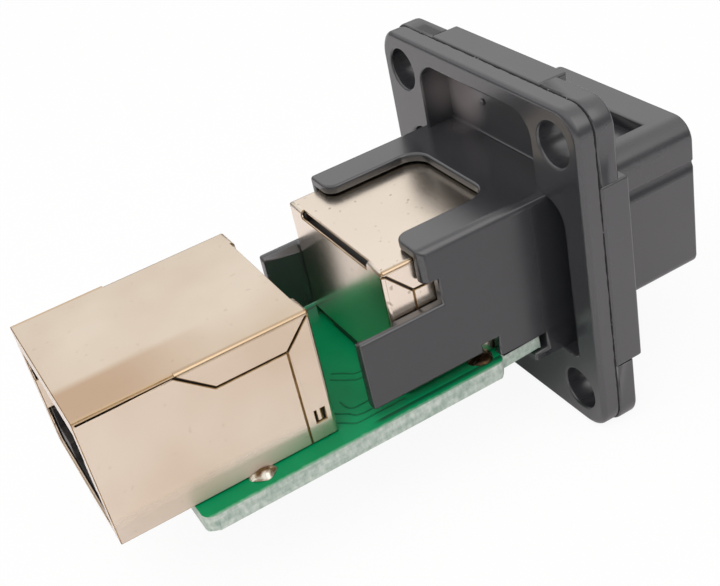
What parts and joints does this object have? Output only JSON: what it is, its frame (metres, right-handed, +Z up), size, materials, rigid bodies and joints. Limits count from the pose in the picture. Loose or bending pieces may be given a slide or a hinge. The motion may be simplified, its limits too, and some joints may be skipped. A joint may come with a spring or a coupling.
{
  "type": "waterproof ethernet socket",
  "caption": "Flanged panel socket of black plastic with a plug shell in front, an open cage behind and a small circuit board that joins two shielded network jacks back to back.",
  "frame": {"origin": "middle of the four screw holes, on the flange face that meets the panel", "axes": "+Y into the cabinet along the board and away from the plug side, +Z up, +X to the right when looking at the plug side"},
  "size_m": [0.0286, 0.0558, 0.031],
  "materials": {
    "housing_plastic": "satin black moulded plastic with a fine grain",
    "shield_nickel": "warm nickel plating on thin folded sheet, slightly scuffed",
    "board_laminate": "green solder mask over glass laminate, bare rough edges",
    "insulator_plastic": "dark moulded plastic",
    "contact_gold": "gold plating on spring wire",
    "solder": "bright tin solder"
  },
  "bodies": {
    "root": {"housing": "housing_plastic", "circuit_board": "board_laminate", "front_jack_shield": "shield_nickel", "front_jack_body": "insulator_plastic", "front_contact_carrier": "insulator_plastic", "front_shield_solder": "solder", "front_pin_solder": "solder", "rear_jack_shield": "shield_nickel", "rear_jack_body": "insulator_plastic", "rear_contact_carrier": "insulator_plastic", "rear_shield_solder": "solder", "rear_pin_solder": "solder", "front_contact_1": "contact_gold", "front_contact_2": "contact_gold", "front_contact_3": "contact_gold", "front_contact_4": "contact_gold", "front_contact_5": "contact_gold", "front_contact_6": "contact_gold", "front_contact_7": "contact_gold", "front_contact_8": "contact_gold", "rear_contact_1": "contact_gold", "rear_contact_2": "contact_gold", "rear_contact_3": "contact_gold", "rear_contact_4": "contact_gold", "rear_contact_5": "contact_gold", "rear_contact_6": "contact_gold", "rear_contact_7": "contact_gold", "rear_contact_8": "contact_gold"}
  },
  "joints": []
}
